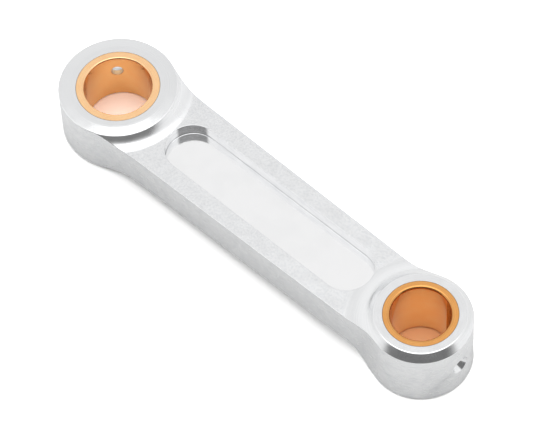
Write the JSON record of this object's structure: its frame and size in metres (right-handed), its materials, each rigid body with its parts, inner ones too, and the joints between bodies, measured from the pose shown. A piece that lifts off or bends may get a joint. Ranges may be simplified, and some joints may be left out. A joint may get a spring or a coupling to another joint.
{
  "type": "connecting rod",
  "caption": "Small aluminium engine connecting rod with a plain bronze bush pressed into each eye and a round-ended pocket in the shank.",
  "frame": {"origin": "centre of the rod's box, on the mid-plane of its thickness and on the line through both bore axes", "axes": "+X from the big end to the small end, +Z along both bores towards the face with the narrower small-end boss, +Y completes a right-handed frame"},
  "size_m": [0.053, 0.0122, 0.0074],
  "materials": {
    "aluminium": "bright satin, turned end faces, fine tumbled shank",
    "bronze": "fine turned bronze"
  },
  "bodies": {
    "root": {"rod_body": "aluminium", "big_end_bush": "bronze", "small_end_bush": "bronze"}
  },
  "joints": []
}
